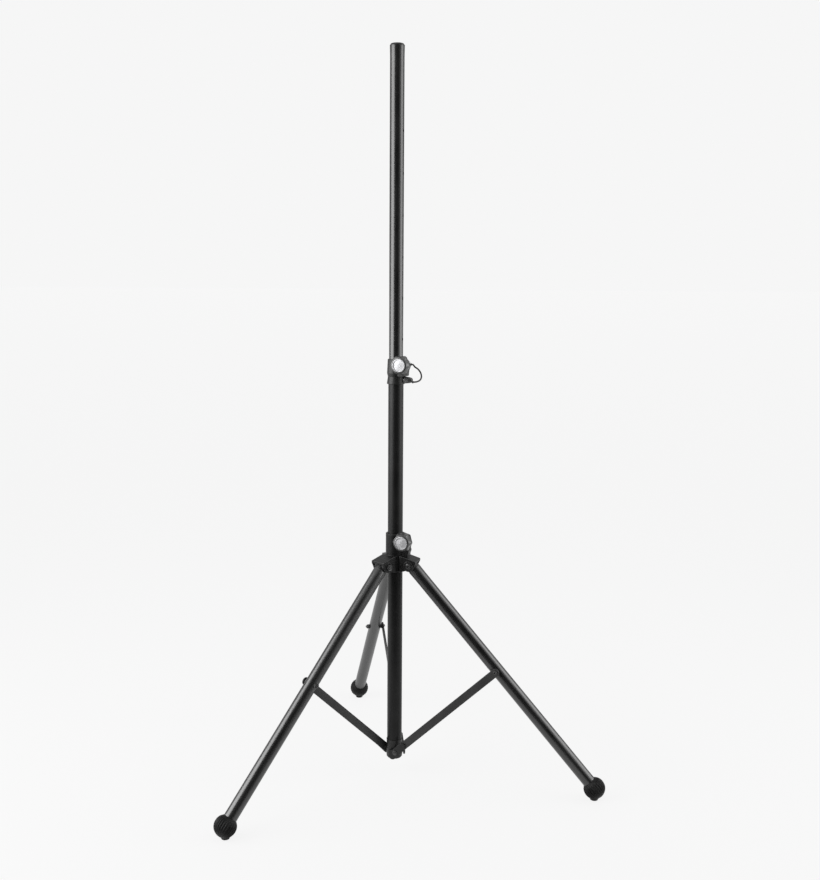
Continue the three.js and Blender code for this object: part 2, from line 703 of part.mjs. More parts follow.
function lockingPin() {
  const along = (geometry) => geometry.rotateY(Math.PI / 2).translate(0, 0, PIN_Z);
  const boreEnd = PIN_HEAD_TO - 5;
  addPiece(collarFrame, 'locking_pin',
    along(rod(PIN_R, PIN_TIP_X, boreEnd - GAP, SMALL_ROUND)), MATERIALS.zinc);
  const head = turned([
    [PIN_R + GAP, PIN_HEAD_FROM],
    [PIN_HEAD_R, PIN_HEAD_FROM],
    [PIN_HEAD_R, boreEnd],
    [PIN_HEAD_END_R, PIN_HEAD_TO],
    [0, PIN_HEAD_TO],
    [0, boreEnd],
    [PIN_R + GAP, boreEnd],
    [PIN_R + GAP, PIN_HEAD_FROM],
  ], BORE_ROUND);
  addPiece(collarFrame, 'locking_pin_head', along(head), MATERIALS.plastic);

  const ferrule = ([x, y, z], length) => rod(FERRULE_R, x - GAP - length, x - GAP, SMALL_ROUND)
    .rotateY(Math.PI / 2).translate(0, y, z);
  addPiece(collarFrame, 'collar_ferrule',
    ferrule(LANYARD_ROUTE[0], COLLAR_FERRULE_LENGTH), MATERIALS.blackSteel);
  addPiece(collarFrame, 'pin_ferrule',
    ferrule(LANYARD_ROUTE[LANYARD_ROUTE.length - 1], PIN_FERRULE_LENGTH), MATERIALS.blackSteel);

  const route = new THREE.CatmullRomCurve3(LANYARD_ROUTE.map((p) => new THREE.Vector3(...p)));
  const section = new THREE.Shape();
  const sides = 8;
  for (let i = 0; i < sides; i += 1) {
    const turn = (i / sides) * 2 * Math.PI;
    const x = LANYARD_R * Math.cos(turn);
    const y = LANYARD_R * Math.sin(turn);
    if (i === 0) section.moveTo(x, y);
    else section.lineTo(x, y);
  }
  section.closePath();
  const wire = new THREE.ExtrudeGeometry(section,
    { steps: LANYARD_STEPS, extrudePath: route, bevelEnabled: false });
  addPiece(collarFrame, 'pin_lanyard', wire, MATERIALS.blackSteel);
}

// ---- assembly --------------------------------------------------------------------------

const azimuths = [];
for (let i = 0; i < LEG_COUNT; i += 1) {
  azimuths.push(REAR_LEG_AZIMUTH + (i * 360) / LEG_COUNT);
}

mastTubes();
upperCollar();
clampKnob(collarFrame, COLLAR, 'upper');
hubBody(azimuths);
clampKnob(hubFrame, HUB, 'hub');
bottomBracket(azimuths);
lockingPin();
azimuths.forEach((azimuth, i) => {
  const spoke = new THREE.Group();
  spoke.rotation.z = azimuth * DEGREE;
  mast.add(spoke);
  pivotHardware(spoke, i + 1);
  leg(spoke, i + 1);
  brace(spoke, i + 1);
  bracketPinHead(spoke, i + 1);
});

export default stand;
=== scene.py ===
# Looks of a tripod loudspeaker stand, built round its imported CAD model.
# Shapes are drawn in millimetres in the frame of the joint or tube that they belong to,
# and become metres when they are placed.

import json
import math

import bmesh
import bpy
from mathutils import Matrix, Vector

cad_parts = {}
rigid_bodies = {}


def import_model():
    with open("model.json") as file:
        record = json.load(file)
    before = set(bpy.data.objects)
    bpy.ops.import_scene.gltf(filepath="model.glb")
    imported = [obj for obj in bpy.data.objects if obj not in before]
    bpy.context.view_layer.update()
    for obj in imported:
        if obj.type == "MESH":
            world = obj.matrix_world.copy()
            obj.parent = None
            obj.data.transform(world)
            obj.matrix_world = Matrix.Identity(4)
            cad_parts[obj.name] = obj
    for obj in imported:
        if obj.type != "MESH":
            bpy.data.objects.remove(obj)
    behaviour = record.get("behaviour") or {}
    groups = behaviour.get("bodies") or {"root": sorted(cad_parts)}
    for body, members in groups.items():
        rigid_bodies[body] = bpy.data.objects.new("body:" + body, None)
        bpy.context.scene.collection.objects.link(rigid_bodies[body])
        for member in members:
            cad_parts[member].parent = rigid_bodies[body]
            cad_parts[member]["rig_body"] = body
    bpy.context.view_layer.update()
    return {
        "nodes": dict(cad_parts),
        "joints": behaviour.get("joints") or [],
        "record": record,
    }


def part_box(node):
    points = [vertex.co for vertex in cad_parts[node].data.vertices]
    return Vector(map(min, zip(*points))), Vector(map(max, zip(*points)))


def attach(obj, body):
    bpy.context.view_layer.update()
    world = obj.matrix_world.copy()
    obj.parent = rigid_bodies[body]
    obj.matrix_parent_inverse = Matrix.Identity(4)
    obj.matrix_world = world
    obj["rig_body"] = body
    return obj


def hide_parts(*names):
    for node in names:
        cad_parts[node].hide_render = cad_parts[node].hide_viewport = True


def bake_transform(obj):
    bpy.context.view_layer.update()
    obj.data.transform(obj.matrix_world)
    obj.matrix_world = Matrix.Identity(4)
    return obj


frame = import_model()

MM = 0.001

# ---- frames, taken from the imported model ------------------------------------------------

joints = {joint["name"]: joint for joint in frame["joints"]}
slot_of = {part["node"]: part["material_slot"] for part in frame["record"]["subparts"]}


def middle(node):
    low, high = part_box(node)
    return (low + high) / 2


def turn(degrees, axis):
    return Matrix.Rotation(math.radians(degrees), 4, axis)


def shift(x, y, z):
    """A move by millimetres."""
    return Matrix.Translation(Vector((x, y, z)) * MM)


def frame_of(origin, y_axis, z_axis):
    x_axis = y_axis.cross(z_axis)
    columns = Matrix((x_axis, y_axis, z_axis)).transposed().to_4x4()
    return Matrix.Translation(origin) @ columns


UP = Vector((0, 0, 1))
mast_axis = Vector((middle("outer_tube").x, middle("outer_tube").y, 0))
mast_frame = Matrix.Translation(mast_axis)


def clamp_frame(knob_joint):
    """x away from the mast between the ears, -y to the knob."""
    return frame_of(mast_axis, -Vector(joints[knob_joint]["axis"]), UP)


collar_frame = clamp_frame("upper_knob_turn")
hub_clamp_frame = clamp_frame("hub_knob_turn")

LEGS = (1, 2, 3)


def spoke_frame(number):
    """x outward under one leg, on the mast's axis."""
    return frame_of(mast_axis, Vector(joints[f"leg_hinge_{number}"]["axis"]), UP)


def leg_frame(number):
    """On the leg's pivot, z up along the leg."""
    pivot = Vector(joints[f"leg_hinge_{number}"]["pos_m"])
    knee = Vector(joints[f"brace_hinge_{number}"]["pos_m"])
    tangent = Vector(joints[f"leg_hinge_{number}"]["axis"])
    return frame_of(pivot, tangent, (pivot - knee).normalized())


def brace_frame(number):
    """On the brace's upper bolt, z up along the brace."""
    knee = Vector(joints[f"brace_hinge_{number}"]["pos_m"])
    tangent = Vector(joints[f"brace_hinge_{number}"]["axis"])
    pin = middle(f"brace_pin_{number}")
    along = knee - pin
    along -= along.dot(tangent) * tangent
    return frame_of(knee, tangent, along.normalized())


# ---- dimensions, in millimetres ---------------------------------------------------------

GAP = 0.3
MAST_TOP = 1830
OUTER_R, OUTER_BORE_R = 19, 17.8
OUTER_BOTTOM, OUTER_TOP = 46, 1038
INNER_R, INNER_BORE_R = 17.5, 15.9
INNER_BOTTOM, INNER_TOP = 832, 1824
PIN_Z, PIN_HOLE_R, PIN_HOLE_PITCH, PIN_HOLES = 1027, 3.6, 100, 7

FOOT_R = 26.3
FOOT_CENTRE_Z = 29.6
FOOT_PAD_R = 9
LEG_PIVOT_R = 41.5
LEG_ANGLE = 42.2
LEG_TUBE_R, LEG_TUBE_BORE_R = 16.25, 15
LEG_TUBE_START = 14
LEG_HEAD_R = 13.4
leg_pivot_z = joints["leg_hinge_1"]["pos_m"][2] / MM
LEG_LENGTH = (leg_pivot_z - FOOT_CENTRE_Z) / math.cos(math.radians(LEG_ANGLE))
BRACE_ON_LEG = (
    Vector(joints["leg_hinge_1"]["pos_m"]) - Vector(joints["brace_hinge_1"]["pos_m"])
).length / MM
BRACE_WIDTH = 20
BRACE_NEAR_Y, BRACE_FAR_Y = 21, 24
BRACE_FOOT_R = 10.3
BRACE_FOOT_Z = 61.2

STUD_R = 3
PIVOT_BOLT_R = 4
NUT_CORNER_R = 5.8
NUT_HEIGHT = 5
KNOB_LENGTH = 30.2
KNOB_NECK = 11.5
KNOB_NECK_R = 8.1
KNOB_LOBES = 6
KNOB_MEAN_R = 23.2
KNOB_LOBE_HEIGHT = 1.8
KNOB_FACE_R = 20
DISC_R = 16

# Clamps: the bolt between the ears, and the outline of an ear from its sleeve outward
COLLAR = {
    "bolt_r": 26.5, "bolt_z": 1066, "ear_half": 19, "top": 1078, "slot_low": 1041,
    "ear": [(12, 1035.6), (27.2, 1035.6), (28.6, 1050.5), (32.6, 1059.5), (32.6, 1067),
            (23.3, 1078), (12, 1078)],
}
HUB = {
    "bolt_r": 28.7, "bolt_z": 622, "ear_half": 13, "top": 638, "slot_low": 602,
    "ear": [(12, 577), (37, 577), (37.2, 586), (40.2, 594), (38, 600.5), (41.8, 612.5),
            (36.5, 632.5), (19, 638), (12, 638)],
}

# Route of the locking pin's wire in the collar's frame: outward, sideways, up
LANYARD_ROUTE = [
    (36.7, 13, 1065),
    (40.6, 12.9, 1064.4),
    (46.4, 11.2, 1059),
    (54.6, 9, 1054.6),
    (61.4, 6.6, 1048.2),
    (65.4, 4.4, 1041.3),
    (66.4, 2.6, 1034.3),
    (64, 1.2, 1028.6),
    (59, 0.4, 1025),
    (53, 0, 1023.2),
    (46.6, 0, 1022.5),
]
LANYARD_R = 2

# ---- camera -----------------------------------------------------------------------------

CAMERA_DISTANCE = 2.6596
CAMERA_HEIGHT = 1.2575
CAMERA_AZIMUTH = -12.07  # of the picture's right-hand side, about the mast
CAMERA_YAW = 0.773
CAMERA_PITCH = 8.174
CAMERA_ROLL = 0.356
LENS = 43.842


def make_camera():
    data = bpy.data.cameras.new("camera")
    data.sensor_width = 36
    data.lens = LENS
    camera = bpy.data.objects.new("camera", data)
    bpy.context.scene.collection.objects.link(camera)
    stand = mast_frame @ turn(CAMERA_AZIMUTH, "Z")
    place = Matrix.Translation((0, -CAMERA_DISTANCE, CAMERA_HEIGHT))
    aim = turn(-CAMERA_YAW, "Z") @ turn(90 - CAMERA_PITCH, "X") @ turn(CAMERA_ROLL, "Z")
    camera.matrix_world = stand @ place @ aim
    bpy.context.scene.camera = camera


make_camera()

# ---- materials --------------------------------------------------------------------------


OWN_PLACE = "own_place"  # each point's place in the frame that its piece was drawn in


class Surface:
    """A procedural material on the piece's own coordinates."""

    def __init__(self, name, roughness=0.5, metallic=0.0, specular=0.5):
        self.material = bpy.data.materials.new(name)
        self.material.use_nodes = True
        self.tree = self.material.node_tree
        self.shader = self.tree.nodes["Principled BSDF"]
        self.set("Roughness", roughness)
        self.set("Metallic", metallic)
        self.set("Specular IOR Level", specular)
        place = self.tree.nodes.new("ShaderNodeAttribute")
        place.attribute_name = OWN_PLACE
        self.place = place.outputs["Vector"]
        self.normal = None

    def set(self, socket, value):
        self.shader.inputs[socket].default_value = value

    def feed(self, socket, output):
        self.tree.links.new(output, self.shader.inputs[socket])

    def node(self, kind, **inputs):
        node = self.tree.nodes.new(kind)
        for name, value in inputs.items():
            socket = node.inputs[name.replace("_", " ")]
            if isinstance(value, bpy.types.NodeSocket):
                self.tree.links.new(value, socket)
            else:
                socket.default_value = value
        return node

    def noise(self, scale, detail=3.0, stretch=(1, 1, 1), distortion=0.0):
        """Noise from 0 to 1. A stretch below 1 draws it out along that axis."""
        mapping = self.node("ShaderNodeMapping", Vector=self.place, Scale=stretch)
        return self.node(
            "ShaderNodeTexNoise",
            Vector=mapping.outputs["Vector"],
            Scale=scale,
            Detail=detail,
            Distortion=distortion,
        ).outputs["Fac"]

    def waves(self, scale, kind="BANDS", direction="Z", distortion=0.0):
        wave = self.node(
            "ShaderNodeTexWave", Vector=self.place, Scale=scale, Distortion=distortion
        )
        wave.wave_type = kind
        if kind == "BANDS":
            wave.bands_direction = direction
        else:
            wave.rings_direction = direction
        return wave.outputs["Fac"]

    def remap(self, value, low, high, new_low=0.0, new_high=1.0):
        return self.node(
            "ShaderNodeMapRange",
            Value=value,
            From_Min=low,
            From_Max=high,
            To_Min=new_low,
            To_Max=new_high,
        ).outputs["Result"]

    def math(self, operation, first, second):
        node = self.tree.nodes.new("ShaderNodeMath")
        node.operation = operation
        for socket, value in zip(node.inputs, (first, second)):
            if isinstance(value, bpy.types.NodeSocket):
                self.tree.links.new(value, socket)
            else:
                socket.default_value = value
        return node.outputs["Value"]

    def blend(self, amount, first, second):
        """Mixes two colours, each a socket or a grey or a triple."""
        node = self.tree.nodes.new("ShaderNodeMix")
        node.data_type = "RGBA"
        self.tree.links.new(amount, node.inputs["Factor"])
        for index, value in ((6, first), (7, second)):
            if isinstance(value, bpy.types.NodeSocket):
                self.tree.links.new(value, node.inputs[index])
            else:
                node.inputs[index].default_value = colour(value)
        return node.outputs[2]

    def bump(self, height, depth, strength=1.0):
        """Adds relief of a depth in millimetres."""
        node = self.node(
            "ShaderNodeBump", Height=height, Distance=depth * MM, Strength=strength
        )
        if self.normal is not None:
            self.tree.links.new(self.normal, node.inputs["Normal"])
        self.normal = node.outputs["Normal"]
        self.feed("Normal", self.normal)

    def edges(self, low=0.52, high=0.6):
        """1 on convex edges."""
        point = self.tree.nodes.new("ShaderNodeNewGeometry").outputs["Pointiness"]
        return self.remap(point, low, high)


def colour(value):
    if isinstance(value, (int, float)):
        value = (value, value, value)
    return (*value, 1.0)


def dusty(surface, base, dust=0.16, amount=0.5):
    """Sparse light specks over a base colour."""
    specks = surface.remap(surface.noise(1500, detail=1.0), 0.69, 0.76, 0.0, amount)
    patches = surface.remap(surface.noise(28, detail=3.0), 0.42, 0.7)
    return surface.blend(surface.math("MULTIPLY", specks, patches), base, dust)


def satin_paint(name, low, high, roughness, specular, peel=0.012):
    """Black stove paint on steel tube: faint mottling, draw marks and orange peel."""
    surface = Surface(name, specular=specular)
    mottle = surface.remap(surface.noise(22, detail=4.0), 0.35, 0.65)
    base = surface.blend(mottle, low, high)
    streaks = surface.noise(420, detail=2.0, stretch=(1, 1, 0.012))
    rubbed = surface.remap(surface.noise(260, detail=5.0, stretch=(1, 1, 0.05)), 0.66, 0.74)
    base = surface.blend(rubbed, base, high * 1.9)
    surface.feed("Base Color", dusty(surface, base))
    rough = surface.remap(streaks, 0.3, 0.7, roughness - 0.035, roughness + 0.035)
    cloud = surface.remap(surface.noise(9, detail=3.0), 0.3, 0.7, -0.03, 0.03)
    surface.feed("Roughness", surface.math("ADD", rough, cloud))
    surface.bump(surface.noise(750, detail=2.0), peel)
    surface.bump(streaks, peel * 0.4)
    return surface.material


def moulded(name, low, high, roughness, grain=0.03, edge=0.07, specular=0.3):
    """Injection-moulded plastic: spark-eroded grain, flow marks, and paler convex edges that are a painted
    highlight.
    """
    surface = Surface(name, specular=specular)
    flow = surface.remap(surface.noise(45, detail=4.0, distortion=0.6), 0.35, 0.65)
    base = surface.blend(flow, low, high)
    # Painted highlight: convex edges are mixed towards the edge grey, as if they caught the light.
    base = surface.blend(surface.edges(), base, edge)
    surface.feed("Base Color", dusty(surface, base, dust=0.2, amount=0.6))
    rough = surface.remap(surface.noise(300, detail=4.0), 0.3, 0.7, roughness - 0.06, roughness + 0.06)
    surface.feed("Roughness", rough)
    surface.bump(surface.noise(1700, detail=2.0), grain)
    surface.bump(surface.noise(120, detail=3.0), grain * 0.8)
    return surface.material


def rubber(name):
    surface = Surface(name, specular=0.14)
    worn = surface.remap(surface.noise(60, detail=5.0), 0.4, 0.68)
    base = surface.blend(worn, 0.002, 0.007)
    surface.feed("Base Color", dusty(surface, base, dust=0.22, amount=0.8))
    surface.feed("Roughness", surface.remap(surface.noise(180), 0.3, 0.7, 0.4, 0.55))
    surface.bump(surface.noise(900, detail=3.0), 0.05)
    return surface.material


def steel(name, low, high, roughness, grain=(1, 1, 1), metallic=1.0):
    surface = Surface(name, metallic=metallic)
    tone = surface.remap(surface.noise(160, detail=4.0), 0.35, 0.65)
    surface.feed("Base Color", surface.blend(tone, low, high))
    brushed = surface.noise(900, detail=3.0, stretch=grain)
    surface.feed("Roughness", surface.remap(brushed, 0.3, 0.7, roughness - 0.07, roughness + 0.1))
    surface.bump(brushed, 0.012)
    return surface.material


def turned_disc(name):
    """Turned aluminium: fine concentric rings, light handling marks."""
    surface = Surface(name, metallic=1.0)
    rings = surface.waves(420, kind="RINGS", direction="Z", distortion=0.3)
    tone = surface.remap(surface.noise(140, detail=5.0), 0.35, 0.68)
    surface.feed("Base Color", surface.blend(tone, (0.42, 0.42, 0.43), (0.52, 0.52, 0.53)))
    smear = surface.remap(surface.noise(60, detail=3.0), 0.3, 0.7, 0.5, 0.6)
    surface.feed("Roughness", smear)
    surface.bump(rings, 0.02)
    return surface.material


def wire_sheath(name):
    surface = Surface(name, specular=0.5)
    lay = surface.waves(900, direction="DIAGONAL")
    surface.feed("Base Color", surface.blend(surface.noise(500), 0.003, 0.009))
    surface.feed("Roughness", surface.remap(surface.noise(700), 0.3, 0.7, 0.35, 0.5))
    surface.bump(lay, 0.08)
    return surface.material


LOOKS = {
    "outer_paint": satin_paint("outer_paint", 0.003, 0.006, 0.4, 0.22),
    "inner_paint": satin_paint("inner_paint", 0.004, 0.007, 0.27, 0.72, peel=0.008),
    "leg_paint": satin_paint("leg_paint", 0.003, 0.006, 0.3, 0.85, peel=0.02),
    "brace_paint": satin_paint("brace_paint", 0.012, 0.02, 0.5, 0.4, peel=0.02),
    "moulded_plastic": moulded("moulded_plastic", 0.004, 0.008, 0.44, edge=0.03, specular=0.36),
    "knob_plastic": moulded("knob_plastic", 0.016, 0.024, 0.34, grain=0.02, edge=0.07, specular=0.8),
    "cap_plastic": moulded("cap_plastic", 0.006, 0.01, 0.45, grain=0.02, edge=0.03),
    "silver_disc": turned_disc("silver_disc"),
    "zinc_steel": steel("zinc_steel", 0.42, 0.62, 0.34),
    "black_steel": steel("black_steel", 0.03, 0.07, 0.3, metallic=0.6),
    "lanyard_wire": wire_sheath("lanyard_wire"),
    "foot_rubber": rubber("foot_rubber"),
}
OWN_LOOKS = {
    # The hub gets a darker, less shiny copy of the moulded plastic as painted shade, with paler edges as a
    # painted highlight.
    "hub_body": moulded("hub_plastic_painted_shade", 0.003, 0.006, 0.42, edge=0.2, specular=0.18),
}

# ---- mesh code --------------------------------------------------------------------------


def rounded(profile, steps=5):
    """Rounds the corners of a profile of (radius, z, corner radius, shape weight)."""
    full = [(*point, *(0, 0)[len(point) - 2:]) for point in profile]
    result = []
    for i, (r, z, corner, weight) in enumerate(full):
        here = Vector((r, z))
        if not corner or i in (0, len(full) - 1):
            result.append((r, z, weight))
            continue
        before = Vector(full[i - 1][:2]) - here
        after = Vector(full[i + 1][:2]) - here
        half = before.angle(after) / 2
        reach = min(corner / math.tan(half), before.length * 0.49, after.length * 0.49)
        radius = reach * math.tan(half)
        start = here + before.normalized() * reach
        end = here + after.normalized() * reach
        centre = here + (before.normalized() + after.normalized()).normalized() * (
            radius / math.sin(half)
        )
        for k in range(steps + 1):
            spoke = (start - centre).slerp(end - centre, k / steps)
            point = centre + spoke
            result.append((point.x, point.y, weight))
    return result


def turned(profile, sides=64, shape=None, closed=False):
    """Body turned about Z. A shape gives a factor on the radius by angle, used by weight."""
    body = bmesh.new()
    rings = []
    for r, z, weight in rounded(profile):
        if r < 1e-6:
            rings.append([body.verts.new((0, 0, z))])
            continue
        ring = []
        for k in range(sides):
            angle = 2 * math.pi * k / sides
            factor = 1 + weight * (shape(angle) - 1) if shape else 1
            ring.append(
                body.verts.new((r * factor * math.cos(angle), r * factor * math.sin(angle), z))
            )
        rings.append(ring)
    pairs = list(zip(rings, rings[1:]))
    if closed:
        pairs.append((rings[-1], rings[0]))
    for low, high in pairs:
        for k in range(sides):
            following = (k + 1) % sides
            corners = [low[k % len(low)], low[following % len(low)]]
            corners += [high[following % len(high)], high[k % len(high)]]
            corners = list(dict.fromkeys(corners))
            if len(corners) > 2:
                body.faces.new(corners)
    bmesh.ops.recalc_face_normals(body, faces=body.faces)
    return body


def hexagon(angle):
    """Radius of a unit hexagon."""
    return math.cos(math.pi / 6) / math.cos(angle % (math.pi / 3) - math.pi / 6)


def rod(radius, low, high, sides=48, corner=0.0):
    return turned([(0, low), (radius, low, corner), (radius, high, corner), (0, high)], sides)


def moved(body, matrix):
    """Moves a mesh in millimetres."""
    bmesh.ops.transform(body, matrix=matrix, verts=body.verts)
    return body


def across(body, x=0, z=0):
    """Lays a body along Z down along -Y, at (x, z)."""
    return moved(body, Matrix.Translation((x, 0, z)) @ turn(90, "X"))


def outward(body, z=0):
    """Lays a body along Z down along X, at height z."""
    return moved(body, Matrix.Translation((0, 0, z)) @ turn(90, "Y"))


def block(x0, x1, y0, y1, z0, z1):
    body = bmesh.new()
    bmesh.ops.create_cube(body, size=1)
    bmesh.ops.scale(body, vec=(x1 - x0, y1 - y0, z1 - z0), verts=body.verts)
    middle_point = ((x0 + x1) / 2, (y0 + y1) / 2, (z0 + z1) / 2)
    bmesh.ops.translate(body, vec=middle_point, verts=body.verts)
    return body


def arc(x, z, radius, start, end, steps=14):
    """Points on an arc, in degrees."""
    angles = [math.radians(start + (end - start) * k / steps) for k in range(steps + 1)]
    return [(x + radius * math.cos(a), z + radius * math.sin(a)) for a in angles]


def plate(outline, y0, y1):
    """Plate whose outline of (x, z) stands between two planes across Y."""
    body = bmesh.new()
    near = [body.verts.new((x, y0, z)) for x, z in outline]
    far = [body.verts.new((x, y1, z)) for x, z in outline]
    body.faces.new(near)
    body.faces.new(reversed(far))
    for k in range(len(outline)):
        following = (k + 1) % len(outline)
        body.faces.new((near[following], near[k], far[k], far[following]))
    bmesh.ops.recalc_face_normals(body, faces=body.faces)
    return body


def joined(*bodies):
    """Several separate shells in one mesh."""
    whole = bodies[0]
    for other in bodies[1:]:
        mesh = bpy.data.meshes.new("part")
        other.to_mesh(mesh)
        other.free()
        whole.from_mesh(mesh)
        bpy.data.meshes.remove(mesh)
    return whole


def mesh_of(body, name="part", scale=MM):
    bmesh.ops.scale(body, vec=(scale,) * 3, verts=body.verts)
    mesh = bpy.data.meshes.new(name)
    body.to_mesh(mesh)
    body.free()
    return mesh


def object_of(mesh, name="part"):
    obj = bpy.data.objects.new(name, mesh)
    bpy.context.scene.collection.objects.link(obj)
    return obj


def final_mesh(obj, name):
    """Applies an object's modifiers."""
    graph = bpy.context.evaluated_depsgraph_get()
    mesh = bpy.data.meshes.new_from_object(obj.evaluated_get(graph))
    mesh.name = name
    return mesh


def carved(base, cuts=(), additions=(), name="part"):
    """Joins and cuts solids, in that order, while they are in millimetres."""
    obj = object_of(mesh_of(base, scale=1))
    tools = []
    for operation, bodies in (("UNION", additions), ("DIFFERENCE", cuts)):
        for body in bodies:
            tool = object_of(mesh_of(body, scale=1), "tool")
            tool.hide_render = True
            modifier = obj.modifiers.new(operation, "BOOLEAN")
            modifier.operation = operation
            modifier.solver = "MANIFOLD"
            modifier.object = tool
            tools.append(tool)
    mesh = final_mesh(obj, name)
    for old in [obj, *tools]:
        data = old.data
        bpy.data.objects.remove(old)
        bpy.data.meshes.remove(data)
    mesh.transform(Matrix.Scale(MM, 4))
    return mesh


def cast(mesh, voxel, smoothing, keep=0.45):
    """Turns a sharp solid into a moulding with even rounded corners and fillets."""
    obj = object_of(mesh)
    remesh = obj.modifiers.new("remesh", "REMESH")
    remesh.mode = "VOXEL"
    remesh.voxel_size = voxel * MM
    smooth = obj.modifiers.new("smooth", "SMOOTH")
    smooth.factor = 0.5
    smooth.iterations = smoothing
    thin = obj.modifiers.new("thin", "DECIMATE")
    thin.ratio = keep
    result = final_mesh(obj, mesh.name)
    bpy.data.objects.remove(obj)
    bpy.data.meshes.remove(mesh)
    return result


def placed(mesh, matrix):
    """Moves a mesh to its place, and keeps where each point was drawn for its material."""
    drawn = mesh.attributes.new(OWN_PLACE, "FLOAT_VECTOR", "POINT")
    points = [0.0] * (3 * len(mesh.vertices))
    mesh.vertices.foreach_get("co", points)
    drawn.data.foreach_set("vector", points)
    mesh.transform(matrix)


def piece(node, mesh, matrix, sharp=40):
    """Shows a mesh in the place of a CAD node, on its body and in its finish."""
    mesh = mesh_of(mesh, node) if isinstance(mesh, bmesh.types.BMesh) else mesh.copy()
    placed(mesh, matrix)
    mesh.shade_smooth()
    mesh.set_sharp_from_angle(angle=math.radians(sharp))
    mesh.materials.clear()
    mesh.materials.append(OWN_LOOKS.get(node, LOOKS[slot_of[node]]))
    obj = object_of(mesh, f"{node}_look")
    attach(obj, frame["nodes"][node]["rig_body"])
    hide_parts(node)
    return obj


# ---- the wire of the locking pin --------------------------------------------------------


def smooth_route(points, steps=8):
    """A curve through every point, evenly smooth."""
    ends = [2 * Vector(points[0]) - Vector(points[1])]
    line = ends + [Vector(p) for p in points] + [2 * Vector(points[-1]) - Vector(points[-2])]
    route = []
    for a, b, c, d in zip(line, line[1:], line[2:], line[3:]):
        for k in range(steps):
            t = k / steps
            route.append(
                0.5 * (2 * b + (c - a) * t + (2 * a - 5 * b + 4 * c - d) * t**2
                       + (3 * b - a - 3 * c + d) * t**3)
            )
    route.append(line[-2])
    return route


def hose(route, radius, sides=16):
    """Round tube along a route, with flat ends."""
    body = bmesh.new()
    side = Vector((0, 1, 0))
    rings = []
    for i, point in enumerate(route):
        ahead = (route[min(i + 1, len(route) - 1)] - route[max(i - 1, 0)]).normalized()
        side = (side - side.dot(ahead) * ahead).normalized()
        other = ahead.cross(side)
        angles = [2 * math.pi * k / sides for k in range(sides)]
        rings.append([
            body.verts.new(point + radius * (side * math.cos(a) + other * math.sin(a)))
            for a in angles
        ])
    for low, high in zip(rings, rings[1:]):
        for k in range(sides):
            body.faces.new((low[k], low[(k + 1) % sides], high[(k + 1) % sides], high[k]))
    body.faces.new(reversed(rings[0]))
    body.faces.new(rings[-1])
    bmesh.ops.recalc_face_normals(body, faces=body.faces)
    return body


def ferrule(node, end, length):
    """Crimped sleeve that ends just short of the wire."""
    radius = 2.3
    profile = [(0, 0), (radius, 0, 0.4)]
    for share in (0.35, 0.65):
        profile += [(radius, length * (share - 0.1), 0.1), (radius - 0.3, length * share, 0.2)]
        profile += [(radius, length * (share + 0.1), 0.1)]
    profile += [(radius, length, 0.4), (0, length)]
    start = shift(end[0] - GAP - length, end[1], end[2])
    return piece(node, turned(profile, 32), collar_frame @ start @ turn(90, "Y"))


def lanyard():
    route = smooth_route(LANYARD_ROUTE)
    mesh = mesh_of(hose(route, LANYARD_R), "pin_lanyard")
    placed(mesh, collar_frame)
    wire = object_of(mesh, "pin_lanyard_look")
    wire.data.shade_smooth()
    wire.data.materials.append(LOOKS["lanyard_wire"])
    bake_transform(wire)
    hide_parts("pin_lanyard")
    sleeves = [ferrule("collar_ferrule", LANYARD_ROUTE[0], 3.5),
               ferrule("pin_ferrule", LANYARD_ROUTE[-1], 3)]


lanyard()

# ---- mast -------------------------------------------------------------------------------


def tube_mesh(radius, bore, low, high, sides=96, pitch=25, corner=0.5):
    """Open tube with rounded ends and even rings along it."""
    steps = max(1, round((high - low) / pitch))
    heights = [low + (high - low) * k / steps for k in range(1, steps)]
    profile = [(bore, low, corner), (radius, low, corner)]
    profile += [(radius, z) for z in heights]
    profile += [(radius, high, corner), (bore, high, corner)]
    profile += [(bore, z) for z in reversed(heights)]
    return turned(profile, sides, closed=True)


def mast():
    piece("outer_tube", tube_mesh(OUTER_R, OUTER_BORE_R, OUTER_BOTTOM, OUTER_TOP), mast_frame)
    holes = [outward(rod(PIN_HOLE_R, -30, 30), PIN_Z + k * PIN_HOLE_PITCH)
             for k in range(PIN_HOLES)]
    inner = carved(tube_mesh(INNER_R, INNER_BORE_R, INNER_BOTTOM, INNER_TOP), cuts=holes)
    piece("inner_tube", inner, collar_frame)
    bottom = INNER_TOP + GAP
    cap = turned([
        (0, bottom - 24), (15.6, bottom - 24, 1), (15.6, bottom, 0.2), (INNER_R, bottom, 0.3),
        (INNER_R, MAST_TOP, 2.6), (4, MAST_TOP, 0.4), (3.4, MAST_TOP - 0.5, 0.3),
        (0, MAST_TOP - 0.5),
    ], 96)
    piece("inner_tube_cap", cap, mast_frame)
    top = INNER_BOTTOM - GAP
    guide = turned([(0, top - 6), (INNER_R, top - 6, 2.4), (INNER_R, top, 0.3), (15.6, top),
                    (15.6, top + 24, 1), (0, top + 24)], 64)
    piece("inner_tube_guide", guide, mast_frame)


mast()

# ---- clamps -----------------------------------------------------------------------------


def softened(outline, radius, steps=6):
    """Rounds every corner of an outline of (x, z)."""
    result = []
    for i, (x, z) in enumerate(outline):
        here = Vector((x, z))
        before = Vector(outline[i - 1]) - here
        after = Vector(outline[(i + 1) % len(outline)]) - here
        reach = min(radius, before.length * 0.4, after.length * 0.4)
        start = here + before.normalized() * reach
        end = here + after.normalized() * reach
        for k in range(steps + 1):
            t = k / steps
            point = (1 - t) ** 2 * start + 2 * t * (1 - t) * here + t**2 * end
            result.append((point.x, point.y))
    return result


def ears(clamp):
    return plate(softened(clamp["ear"], 2.5), -clamp["ear_half"], clamp["ear_half"])


